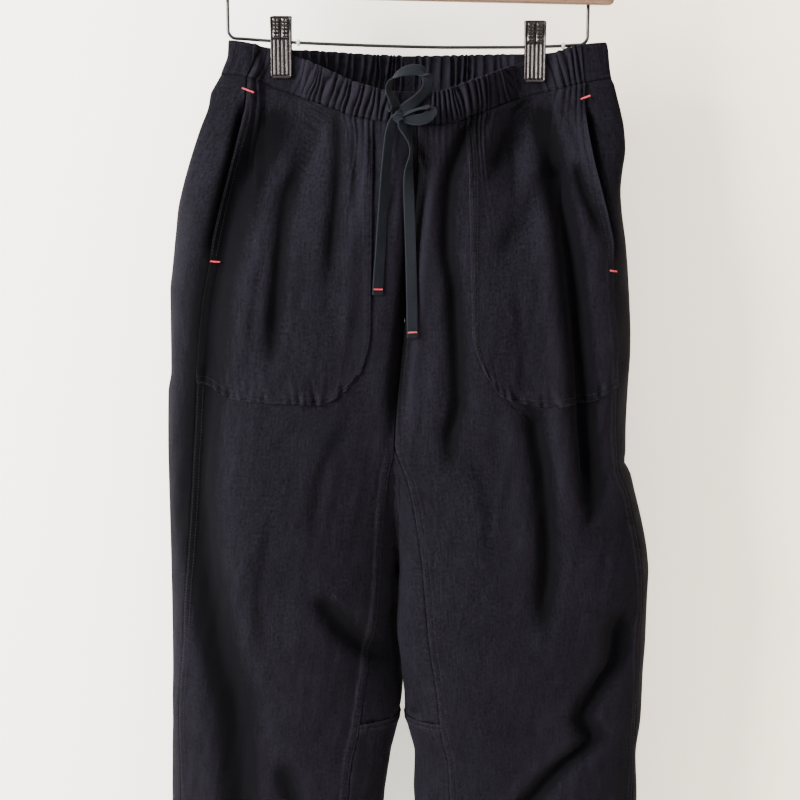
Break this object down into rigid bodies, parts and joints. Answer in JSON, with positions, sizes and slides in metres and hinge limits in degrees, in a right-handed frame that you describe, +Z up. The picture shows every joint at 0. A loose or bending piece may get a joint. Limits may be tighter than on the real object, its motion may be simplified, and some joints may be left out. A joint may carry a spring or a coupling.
{
  "type": "denim trousers on a clip hanger",
  "caption": "Black denim drawstring trousers with patch pockets and a crotch gusset, held flat by the clips of a wire and wood hanger.",
  "frame": {"origin": "inner top of the hook, where a rod bears", "axes": "+Z up along the hung cloth, +X to the viewer's right facing the front, +Y to the back"},
  "size_m": [0.4661, 0.106, 1.1035],
  "materials": {
    "cloth": "washed matte black cotton, fine weave",
    "tape": "matte slate-black woven tape",
    "wood": "satin lacquered",
    "metal": "dark nickel plate",
    "plastic": "translucent"
  },
  "bodies": {
    "root": {"waistband_front": "cloth", "waistband_back": "cloth", "front_right": "cloth", "front_left": "cloth", "back_right": "cloth", "back_left": "cloth", "gusset": "cloth", "inner_leg_right": "cloth", "inner_leg_left": "cloth", "pocket_right": "cloth", "pocket_left": "cloth", "bow_loop": "tape", "bow_small": "tape", "knot": "tape", "tape_left": "tape", "tape_right": "tape", "hanger_bar": "wood", "hanger_wire": "metal", "hanger_hook": "metal", "clip_left_front": "metal", "clip_left_back": "metal", "clip_left_spring": "metal", "clip_right_front": "metal", "clip_right_back": "metal", "clip_right_spring": "metal", "stop_left": "plastic", "stop_right": "plastic"}
  },
  "joints": []
}
